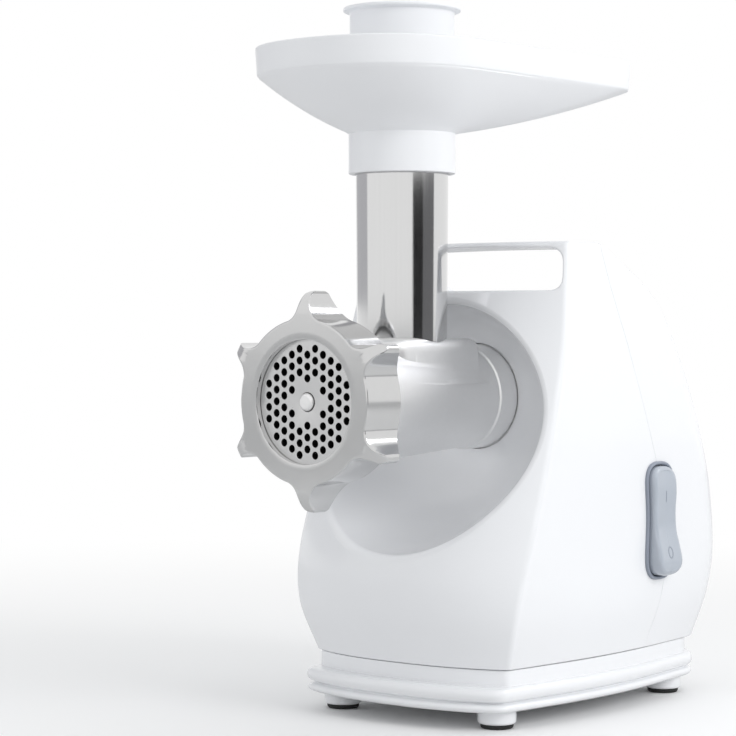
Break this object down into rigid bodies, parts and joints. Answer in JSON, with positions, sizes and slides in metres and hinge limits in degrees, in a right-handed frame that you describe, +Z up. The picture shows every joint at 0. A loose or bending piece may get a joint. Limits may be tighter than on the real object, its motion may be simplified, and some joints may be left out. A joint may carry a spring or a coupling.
{
  "type": "electric meat grinder",
  "caption": "Countertop electric meat grinder: white bowed housing on a beaded base, metal grinding head with a lobed ring nut, feed tube, hopper tray and pusher.",
  "frame": {"origin": "middle of the bounding box, on the surface that the feet stand on", "axes": "+Z up; the ring nut faces -Y; the rocker switch is on the +X side"},
  "size_m": [0.1674, 0.2898, 0.3815],
  "materials": {
    "white_shell": "gloss white ABS",
    "switch_grey": "semi-gloss blue-grey",
    "cast_aluminium": "satin, fine cast grain",
    "inner_casting": "as cast",
    "tube_steel": "polished drawn tube",
    "polished_nut": "polished",
    "plate_steel": "ground face",
    "plain_steel": "plain",
    "nylon": "satin",
    "copper_parts": "copper colour",
    "laminations": "varnished",
    "black_plastic": "satin",
    "carbon": "matt",
    "board_green": "solder mask",
    "rubber": "matt"
  },
  "bodies": {
    "housing": {"front_housing": "white_shell", "rear_housing": "white_shell", "carry_handle": "white_shell", "base_plinth": "white_shell", "base_cover": "white_shell", "foot_front_left": "rubber", "foot_front_right": "rubber", "foot_rear_left": "rubber", "foot_rear_right": "rubber", "base_screw_front_left": "plain_steel", "base_screw_front_right": "plain_steel", "base_screw_rear_left": "plain_steel", "base_screw_rear_right": "plain_steel", "head_socket": "inner_casting", "release_spring": "plain_steel", "release_guide": "nylon", "rocker_bezel": "switch_grey", "switch_module": "black_plastic", "cord_inlet": "switch_grey", "control_board": "board_green", "suppressor_capacitor": "nylon", "gear_pin_1": "plain_steel", "gear_pin_2": "plain_steel", "output_bushing": "copper_parts", "gearbox_case": "inner_casting", "gearbox_cover": "inner_casting", "motor_stator": "laminations", "field_coil_top": "copper_parts", "field_coil_bottom": "copper_parts", "motor_bearing_front": "plain_steel", "motor_bearing_rear": "plain_steel", "brush_left": "carbon", "brush_holder_left": "black_plastic", "brush_right": "carbon", "brush_holder_right": "black_plastic", "motor_bracket_front": "laminations", "motor_bracket_rear": "laminations"},
    "head": {"head_barrel": "cast_aluminium", "tube_seat": "cast_aluminium", "feed_tube": "tube_steel", "perforated_plate": "plate_steel"},
    "ring_nut": {"ring_nut": "polished_nut"},
    "auger": {"auger": "inner_casting", "auger_drive_end": "plain_steel", "auger_washer": "nylon", "cross_blade": "plate_steel"},
    "hopper_tray": {"hopper_tray": "white_shell"},
    "pusher": {"pusher": "white_shell"},
    "rotor": {"rotor_shaft": "plain_steel", "rotor_core": "laminations", "commutator": "copper_parts", "cooling_fan": "black_plastic", "motor_pinion": "plain_steel"},
    "gear_one": {"compound_gear_1": "nylon"},
    "gear_two": {"compound_gear_2": "nylon"},
    "output": {"output_gear": "nylon", "drive_socket": "plain_steel"},
    "switch_rocker": {"switch_rocker": "switch_grey"},
    "release_button": {"release_button": "switch_grey"}
  },
  "joints": [
    {"name": "head_slide", "type": "slide", "parent": "housing", "child": "head", "axis": [0, -1, 0], "range_m": [0, 0.12]},
    {"name": "ring_nut_turn", "type": "hinge", "parent": "head", "child": "ring_nut", "pos_m": [-0.0047, -0.1309, 0.173], "axis": [0, -1, 0], "range_deg": [0, 630]},
    {"name": "auger_spin", "type": "hinge", "parent": "head", "child": "auger", "pos_m": [-0.0047, -0.0639, 0.173], "axis": [0, -1, 0], "continuous": true},
    {"name": "tray_lift", "type": "slide", "parent": "head", "child": "hopper_tray", "axis": [0, 0, 1], "range_m": [0, 0.06]},
    {"name": "pusher_lift", "type": "slide", "parent": "hopper_tray", "child": "pusher", "axis": [0, 0, 1], "range_m": [0, 0.15]},
    {"name": "rotor_spin", "type": "hinge", "parent": "housing", "child": "rotor", "pos_m": [-0.0047, 0.0661, 0.078], "axis": [0, -1, 0], "continuous": true},
    {"name": "gear_one_spin", "type": "hinge", "parent": "housing", "child": "gear_one", "pos_m": [-0.0162, 0.0461, 0.1085], "axis": [0, -1, 0], "continuous": true},
    {"name": "gear_two_spin", "type": "hinge", "parent": "housing", "child": "gear_two", "pos_m": [0.0083, 0.0361, 0.134], "axis": [0, -1, 0], "continuous": true},
    {"name": "output_spin", "type": "hinge", "parent": "housing", "child": "output", "pos_m": [-0.0047, 0.0281, 0.173], "axis": [0, -1, 0], "continuous": true},
    {"name": "switch_rock", "type": "hinge", "parent": "housing", "child": "switch_rocker", "pos_m": [0.0733, 0.0671, 0.1035], "axis": [0, 1, 0], "range_deg": [-5, 5]},
    {"name": "release_button_press", "type": "slide", "parent": "housing", "child": "release_button", "axis": [0, 1, 0], "range_m": [0, 0.004], "stiffness_N_per_m": 400, "springref_m": -0.002}
  ],
  "couplings": [
    {"joint": "gear_one_spin", "follows": "rotor_spin", "ratio": -0.18182},
    {"joint": "gear_two_spin", "follows": "rotor_spin", "ratio": 0.043062},
    {"joint": "output_spin", "follows": "rotor_spin", "ratio": -0.012111},
    {"joint": "auger_spin", "follows": "rotor_spin", "ratio": -0.012111}
  ]
}
